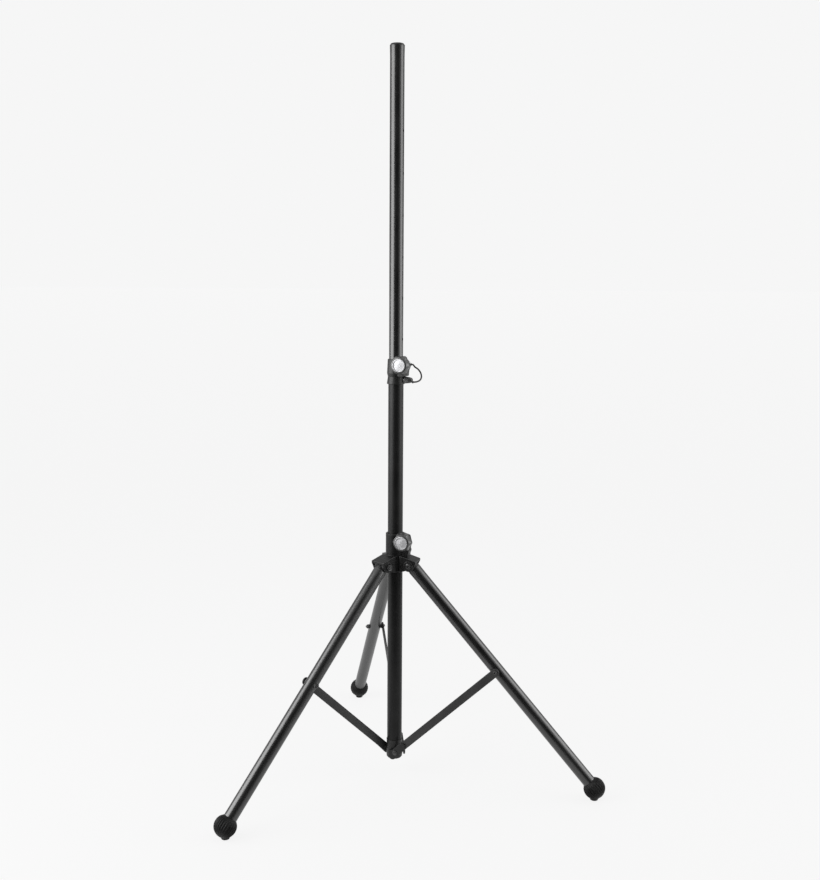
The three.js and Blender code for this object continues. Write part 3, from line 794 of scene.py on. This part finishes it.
def clamp_cuts(clamp):
    x, z, end = clamp["bolt_r"], clamp["bolt_z"], clamp["ear_half"]
    corner, depth = NUT_CORNER_R + 0.35, NUT_HEIGHT + GAP
    pocket = turned([(0, -end - 1), (corner, -end - 1, 0, 1), (corner, depth - end, 0, 1),
                     (0, depth - end)], 48, hexagon)
    moved(pocket, turn(30, "Z"))
    return [
        block(12, 60, -2, 2, clamp["slot_low"], clamp["top"] + 5),
        across(rod(STUD_R + 0.35, -end - 1, end + 1), x, z),
        across(pocket, x, z),
    ]


def collar():
    base = turned([(0, 1017), (22.2, 1017, 0.6), (22.2, 1034.5, 3), (20.2, 1043.5, 3),
                   (20.2, 1078, 0.6), (0, 1078)], 96)
    pin_boss = outward(rod(8.4, 12, 22.4, corner=0.6), PIN_Z)
    cuts = [
        rod(OUTER_R + GAP, 1000, OUTER_TOP + GAP, 96),
        rod(INNER_R + 0.35, 1030, 1100, 96),
        *clamp_cuts(COLLAR),
        outward(rod(PIN_HOLE_R - 0.2, 0, 40), PIN_Z),
    ]
    whole = carved(base, cuts, [ears(COLLAR), pin_boss], "upper_collar")
    piece("upper_collar", cast(whole, 0.55, 4), collar_frame)


def rivet(node, shank, matrix):
    head = turned([(0, 0), (1.6, 0), (1.6, shank), (3.4, shank, 0.2), (3.2, shank + 0.8, 0.6),
                   (1.6, shank + 1.4, 0.6), (0, shank + 1.5)], 40)
    piece(node, head, matrix)


def star(angle):
    return 1 + KNOB_LOBE_HEIGHT / KNOB_MEAN_R * math.cos(KNOB_LOBES * angle)


def knob(clamp_matrix, clamp, prefix, disc_turn):
    place = shift(clamp["bolt_r"], -clamp["ear_half"] - 0.4, clamp["bolt_z"])
    matrix = clamp_matrix @ place @ turn(90, "X")
    star_end = KNOB_NECK + 12
    body = turned([
        (STUD_R + GAP, 14), (STUD_R + GAP, 0, 0.3), (KNOB_NECK_R, 0, 0.5), (KNOB_NECK_R + 3, KNOB_NECK, 1.5),
        (KNOB_MEAN_R - 1, KNOB_NECK, 1, 1), (KNOB_MEAN_R, KNOB_NECK + 1.4, 1, 1),
        (KNOB_MEAN_R, star_end - 2, 2, 1), (KNOB_FACE_R + 1.6, star_end + 2.4, 2, 0.45),
        (KNOB_FACE_R, KNOB_LENGTH - 0.2, 1.3, 0), (DISC_R + 0.35, KNOB_LENGTH, 0.3),
        (DISC_R + 0.35, KNOB_LENGTH - 2), (0, KNOB_LENGTH - 2),
    ], 144, star)
    piece(f"{prefix}_knob", body, matrix)
    low = KNOB_LENGTH - 1.7
    disc = turned([
        (0, low), (DISC_R, low), (DISC_R, KNOB_LENGTH - 0.1, 0.4),
        (DISC_R - 1.2, KNOB_LENGTH + 0.1, 0.3), (DISC_R - 1.8, KNOB_LENGTH - 0.15, 0.2),
        (6, KNOB_LENGTH + 0.05), (0, KNOB_LENGTH + 0.15),
    ], 96)
    piece(f"{prefix}_knob_disc", disc, matrix @ turn(disc_turn, "Z"))
    stud = rod(STUD_R, -2 * clamp["ear_half"] + 0.5, 13.7, corner=0.7)
    piece(f"{prefix}_knob_stud", stud, matrix)
    end = clamp["ear_half"]
    nut = hex_nut(NUT_CORNER_R, end - NUT_HEIGHT, end, STUD_R + GAP)
    place = shift(clamp["bolt_r"], 0, clamp["bolt_z"])
    piece(f"{prefix}_clamp_nut", nut, clamp_matrix @ place @ turn(-90, "X") @ turn(30, "Z"))


def hex_nut(corner_r, low, high, bore):
    inset = corner_r * 0.9
    return turned([
        (bore, low + 0.6), (bore + 0.5, low), (inset, low, 0.1), (corner_r, low + 0.7, 0.1, 1),
        (corner_r, high - 0.7, 0.1, 1), (inset, high, 0.1), (bore + 0.5, high),
        (bore, high - 0.6),
    ], 72, hexagon, closed=True)


collar()
rivet("upper_collar_rivet", 2.9,
      collar_frame @ shift(0, OUTER_R + 0.6, PIN_Z) @ turn(-90, "X"))
knob(collar_frame, COLLAR, "upper", 20)
knob(hub_clamp_frame, HUB, "hub", -35)


def fluted(angle):
    """Finger grooves round the locking pin's head."""
    return 1 - 0.075 * abs(math.cos(9 * angle)) ** 3


def locking_pin():
    place = collar_frame @ shift(0, 0, PIN_Z) @ turn(90, "Y")
    piece("locking_pin", rod(3, 18.1, 37.7, corner=0.6), place)
    head = turned([
        (3.3, 38), (3.3, 22.8, 0.2), (8, 22.8, 0.6), (8, 25, 0.3), (7.2, 25.4, 0.3, 0.3),
        (8, 26, 0.4, 1), (8, 36, 1.5, 1), (6.4, 40.5, 1, 0.4), (5.2, 42.6, 0.8), (3.6, 43, 0.3),
        (3, 42.4, 0.3), (0, 42.4),
    ], 144, fluted)
    piece("locking_pin_head", head, place)


locking_pin()

# ---- hub --------------------------------------------------------------------------------

HUB_BOTTOM, HUB_TOP, SLEEVE_R = 541, 638, 24.2
WING_HALF, WING_GAP, WING_REACH = 22, 17.9, 60.5
ROOF_INNER, ROOF_OUTER, LIP_BOTTOM = 582, 571.5, 566


def wing():
    """One hooded wing: what it adds to the sleeve and what is hollow."""
    side = [(18, ROOF_INNER), (18, HUB_BOTTOM), (30, HUB_BOTTOM + 3)]
    side += arc(LEG_PIVOT_R, leg_pivot_z, 14.5, -120, -10)
    side += [(WING_REACH, LIP_BOTTOM), (WING_REACH, ROOF_OUTER), (SLEEVE_R, ROOF_INNER)]
    slope = (ROOF_OUTER - ROOF_INNER) / (WING_REACH - SLEEVE_R)
    inner = WING_REACH - 2.2

    def underside(r):
        return ROOF_INNER + slope * (r - SLEEVE_R) - 3.5

    hollow = [(SLEEVE_R, underside(SLEEVE_R)), (SLEEVE_R, HUB_BOTTOM - 1),
              (inner + 20, HUB_BOTTOM - 1), (inner + 20, LIP_BOTTOM), (inner, LIP_BOTTOM),
              (inner, underside(inner))]
    ring = [across(rod(12, y, y + 2.5), LEG_PIVOT_R, leg_pivot_z) for y in (-23.5, 21)]
    bores = [across(rod(8, y, y + 3.6), LEG_PIVOT_R, leg_pivot_z) for y in (-25, 21.4)]
    bores.append(across(rod(PIVOT_BOLT_R + 0.35, -30, 30), LEG_PIVOT_R, leg_pivot_z))
    return ([plate(side, -WING_HALF, WING_HALF), *ring],
            [plate(hollow, -WING_GAP, WING_GAP), *bores])


def hub():
    to_hub = hub_clamp_frame.inverted()
    base = turned([(0, HUB_BOTTOM), (SLEEVE_R, HUB_BOTTOM, 1), (SLEEVE_R, HUB_TOP, 1.2),
                   (0, HUB_TOP)], 96)
    additions, cuts = [ears(HUB)], []
    for number in LEGS:
        spoke = to_hub @ spoke_frame(number)
        spoke.translation = (0, 0, 0)
        added, removed = wing()
        additions += [moved(body, spoke) for body in added]
        cuts += [moved(body, spoke) for body in removed]
    cuts += [rod(OUTER_R + GAP, HUB_BOTTOM - 1, HUB_TOP + 1, 96)]
    cuts += clamp_cuts(HUB)
    whole = carved(base, cuts, additions, "hub_body")
    piece("hub_body", cast(whole, 0.65, 6), hub_clamp_frame)


hub()

# ---- legs -------------------------------------------------------------------------------


def dome_bolt(shank_r, head_r, height, head_from, shank_to):
    """Button-head bolt with a hexagon socket. Its head is at +Z."""
    top = head_from + height
    socket = head_r * 0.42
    return turned([
        (0, -shank_to), (shank_r, -shank_to, 0.5), (shank_r, head_from, 0.2),
        (head_r, head_from, 0.3), (head_r * 0.93, head_from + height * 0.45, 1.6),
        (head_r * 0.62, top - 0.25, 1.2), (socket, top, 0.15, 1), (socket, top - 1.7, 0.1, 1),
        (0, top - 2),
    ], 60, hexagon)


def leg_head_mesh():
    base = across(rod(LEG_HEAD_R, -17.5, 17.5, 64))
    additions = [rod(LEG_TUBE_BORE_R - GAP, -48, 0), rod(LEG_TUBE_R - 0.2, 0.3 - LEG_TUBE_START, -6)]
    whole = carved(base, [across(rod(PIVOT_BOLT_R + 0.35, -20, 20))], additions, "leg_head")
    return cast(whole, 0.6, 5)


FOOT_RIBS = 28


def ribbed(angle):
    return 1 + 0.03 * math.cos(FOOT_RIBS * angle)


def foot_mesh():
    """Ball with lengthwise ribs round the tube, and a nub that stands on the floor."""
    bore = LEG_TUBE_R + GAP
    rim = math.degrees(math.asin((bore + 1.6) / FOOT_R))
    profile = [(0, 3.7), (bore, 3.7, 0.5), (bore, FOOT_R * math.cos(math.radians(rim)) + 0.9, 0.8)]
    steps = 30
    for k in range(steps + 1):
        angle = math.radians(rim + (180 - rim) * k / steps)
        weight = min(1, 2.2 * math.sin(angle) ** 2) * min(1, k / 3)
        profile.append((FOOT_R * math.sin(angle) * (k < steps), FOOT_R * math.cos(angle), 0, weight))
    ball = turned(profile, FOOT_RIBS * 12, ribbed)
    nub = turned([(0, -FOOT_CENTRE_Z), (FOOT_PAD_R, -FOOT_CENTRE_Z, 0.7),
                  (FOOT_PAD_R + 3.5, -FOOT_R * 0.84, 0.5), (0, -FOOT_R * 0.82)], 64)
    moved(nub, turn(LEG_ANGLE, "Y"))
    return mesh_of(joined(ball, nub), "rubber_foot")


def acorn_nut():
    low = LEG_TUBE_R + GAP
    return turned([
        (3.3, low), (5.3, low, 0.1), (5.8, low + 0.5, 0.1, 1), (5.8, low + 4.2, 0.1, 1),
        (5.1, low + 5, 0.2), (4.7, low + 5.3, 0.3), (4.3, low + 7.4, 1.5), (2.4, low + 9.7, 1.5),
        (0, low + 10.1),
    ], 60, hexagon)


def legs():
    head = leg_head_mesh()
    foot = foot_mesh()
    tube = mesh_of(tube_mesh(LEG_TUBE_R, LEG_TUBE_BORE_R, 4 - LEG_LENGTH, -LEG_TUBE_START), "leg_tube")
    pivot_bolt = mesh_of(dome_bolt(PIVOT_BOLT_R, 6.6, 3.8, WING_HALF + GAP, WING_HALF + 6.7), "pivot_bolt")
    pivot_nut = mesh_of(hex_nut(7.2, WING_HALF + GAP, WING_HALF + GAP + 5.6, PIVOT_BOLT_R + GAP), "pivot_nut")
    bolt = mesh_of(dome_bolt(3, 5.6, 3.4, BRACE_FAR_Y + GAP, LEG_TUBE_R + 5.5), "brace_bolt")
    nut = mesh_of(acorn_nut(), "brace_nut")
    spacer = mesh_of(turned([(3.3, -20.7), (3.3, -LEG_TUBE_R - GAP), (6.5, -LEG_TUBE_R - GAP, 0.5),
                             (6.5, -18.8, 0.3), (5.9, -18.6, 0.3), (5.9, -18.4, 0.3),
                             (6.5, -18.2, 0.3), (6.5, -20.7, 0.5)], 48, closed=True), "brace_spacer")
    for number in LEGS:
        leg = leg_frame(number)
        knee = leg @ shift(0, 0, -BRACE_ON_LEG)
        spoke = spoke_frame(number) @ shift(LEG_PIVOT_R, 0, leg_pivot_z)
        piece(f"leg_head_{number}", head, leg)
        piece(f"leg_tube_{number}", tube, leg)
        piece(f"rubber_foot_{number}", foot, leg @ shift(0, 0, -LEG_LENGTH), sharp=60)
        piece(f"leg_pivot_bolt_{number}", pivot_bolt, spoke @ turn(90, "X"))
        piece(f"leg_pivot_nut_{number}", pivot_nut, spoke @ turn(-90, "X"))
        piece(f"brace_bolt_{number}", bolt, knee @ turn(90, "X"))
        piece(f"brace_nut_{number}", nut, knee @ turn(-90, "X"))
        piece(f"brace_spacer_{number}", spacer, knee @ turn(-90, "X"))


legs()

# ---- braces -----------------------------------------------------------------------------


def bevelled(mesh, width, segments=3):
    obj = object_of(mesh)
    bevel = obj.modifiers.new("bevel", "BEVEL")
    bevel.width = width * MM
    bevel.segments = segments
    bevel.limit_method = "ANGLE"
    result = final_mesh(obj, mesh.name)
    bpy.data.objects.remove(obj)
    bpy.data.meshes.remove(mesh)
    return result


def braces():
    knee = Vector(joints["brace_hinge_1"]["pos_m"]) / MM
    run = math.hypot(knee.x - mast_axis.x / MM, knee.y - mast_axis.y / MM) - BRACE_FOOT_R
    length = math.hypot(run, knee.z - BRACE_FOOT_Z)
    half = BRACE_WIDTH / 2
    outline = arc(0, 0, half, 0, 180, 24) + arc(0, -length, half, 180, 360, 24)
    bar = mesh_of(plate(outline, -BRACE_FAR_Y, -BRACE_NEAR_Y), "brace_bar")
    bar = bevelled(bar, 0.45)
    pin = mesh_of(across(rod(4, BRACE_NEAR_Y, BRACE_FAR_Y, corner=0.3), 0, -length), "brace_pin")
    for number in LEGS:
        piece(f"brace_bar_{number}", bar, brace_frame(number), sharp=30)
        piece(f"brace_pin_{number}", pin, brace_frame(number))


braces()

# ---- bottom bracket ---------------------------------------------------------------------

CHEEK_INNER, CHEEK_OUTER = 24.4, 27.8
CHEEK = [(37, 73.5), (37, 85), (33.5, 89), (26, 89), (4, 68.2)]  # above its round lower end
LOBE_X, LOBE_Z, LOBE_R, LOBE_END = 3, 52.2, 9.7, 316


def bracket():
    base = turned([(0, 39.5), (17.4, 39.5, 1), (20.4, 43.5, 1), (20.7, 53.5), (20.7, 84, 1.5),
                   (20.2, 90, 0.6), (0, 90)], 96)
    to_hub = hub_clamp_frame.inverted()
    additions = []
    cuts = [rod(OUTER_R + GAP, OUTER_BOTTOM - GAP, 120, 96)]
    for number in LEGS:
        spoke = to_hub @ spoke_frame(number)
        spoke.translation = (0, 0, 0)
        back, top = LOBE_X - LOBE_R, CHEEK[-1][1]
        outline = arc(LOBE_X, LOBE_Z, LOBE_R, 180, LOBE_END, 24) + CHEEK + [(back, top)]
        lug = plate(outline, -CHEEK_OUTER, -CHEEK_INNER)
        web = block(back, -0.8, -CHEEK_OUTER, -15, LOBE_Z, top)
        additions += [moved(lug, spoke), moved(web, spoke)]
        hole = across(rod(4.3, CHEEK_INNER - 1, CHEEK_OUTER + 1), BRACE_FOOT_R, BRACE_FOOT_Z)
        cuts.append(moved(hole, spoke))
    whole = carved(base, cuts, additions, "bottom_bracket")
    piece("bottom_bracket", cast(whole, 0.5, 6), hub_clamp_frame)
    rivet("bottom_bracket_rivet", 1.5,
          hub_clamp_frame @ shift(OUTER_R + 0.4, 0, 76) @ turn(90, "Y"))
    head = mesh_of(turned([(0, CHEEK_INNER), (4, CHEEK_INNER), (4, CHEEK_OUTER + GAP),
                           (6, CHEEK_OUTER + GAP, 0.3), (5.6, CHEEK_OUTER + 1.2, 0.6),
                           (3, CHEEK_OUTER + 2, 1), (1.4, CHEEK_OUTER + 1.6, 0.3),
                           (0, CHEEK_OUTER + 1.5)], 48), "pin_head")
    for number in LEGS:
        place = spoke_frame(number) @ shift(BRACE_FOOT_R, 0, BRACE_FOOT_Z) @ turn(90, "X")
        piece(f"bracket_pin_head_{number}", head, place)


bracket()

# ---- studio -----------------------------------------------------------------------------

PALE = 0.922
WALL = 0.3
view_from = mast_frame @ turn(CAMERA_AZIMUTH, "Z")  # -y towards the camera


def softbox(name, azimuth, distance, width, low, high, radiance):
    """Upright light that faces the mast. The azimuth is from the camera's side."""
    data = bpy.data.lights.new(name, "AREA")
    data.shape = "RECTANGLE"
    data.size = width
    data.size_y = high - low
    data.energy = radiance * math.pi * width * (high - low)
    light = bpy.data.objects.new(name, data)
    bpy.context.scene.collection.objects.link(light)
    place = Matrix.Translation((0, -distance, (low + high) / 2)) @ turn(-90, "X")
    light.matrix_world = view_from @ turn(azimuth, "Z") @ place @ turn(180, "Y")
    light.visible_camera = False


def stage_mesh(name, corners, faces, material):
    mesh = bpy.data.meshes.new(name)
    mesh.from_pydata(corners, [], faces)
    mesh.materials.append(material)
    obj = object_of(mesh, name)
    obj.matrix_world = view_from
    return obj


def light_world(tree):
    """A pale backdrop, and a soft ceiling over darker walls for the light on the stand."""
    background = tree.nodes["Background"]
    background.inputs["Color"].default_value = colour(1.0)
    direction = tree.nodes.new("ShaderNodeTexCoord").outputs["Generated"]
    split = tree.nodes.new("ShaderNodeSeparateXYZ")
    tree.links.new(direction, split.inputs["Vector"])
    ceiling = tree.nodes.new("ShaderNodeMapRange")
    tree.links.new(split.outputs["Z"], ceiling.inputs["Value"])
    for name, value in (("From Min", 0.05), ("From Max", 0.55), ("To Min", WALL), ("To Max", PALE)):
        ceiling.inputs[name].default_value = value
    seen = tree.nodes.new("ShaderNodeLightPath").outputs["Is Camera Ray"]
    choice = tree.nodes.new("ShaderNodeMix")
    tree.links.new(seen, choice.inputs["Factor"])
    tree.links.new(ceiling.outputs["Result"], choice.inputs["A"])
    choice.inputs["B"].default_value = PALE
    tree.links.new(choice.outputs["Result"], background.inputs["Strength"])


def studio():
    scene = bpy.context.scene
    scene.view_settings.view_transform = "Standard"
    world = bpy.data.worlds.new("studio")
    world.use_nodes = True
    light_world(world.node_tree)
    scene.world = world

    paper = Surface("paper", roughness=0.9, specular=0.1)
    paper.set("Base Color", colour(0.04))
    paper.set("Emission Color", colour(1.0))
    paper.set("Emission Strength", 0.865)
    paper.bump(paper.noise(700), 0.02)
    edge = 400
    stage_mesh("floor", [(-edge, -edge, 0), (edge, -edge, 0), (edge, edge, 0), (-edge, edge, 0)],
               [(0, 1, 2, 3)], paper.material)

    black = Surface("black_card", roughness=1.0, specular=0.0)
    black.set("Base Color", colour(0.0))
    wide, near, far, tall = 2.6, -0.8, -3.4, 4.6
    card = stage_mesh("black_card",
                      [(-wide, near, 0.002), (wide, near, 0.002), (wide, far, 0.002),
                       (-wide, far, 0.002), (wide, far, tall), (-wide, far, tall)],
                      [(0, 1, 2, 3), (3, 2, 4, 5)], black.material)
    card.visible_camera = False
    card.visible_diffuse = False
    card.visible_shadow = False
    card.visible_transmission = False

    softbox("left_softbox", -70, 2.2, 2.2, 0.45, 2.7, 5.6)
    softbox("right_softbox", 84, 2.2, 1.7, 0.4, 2.7, 3.2)


studio()
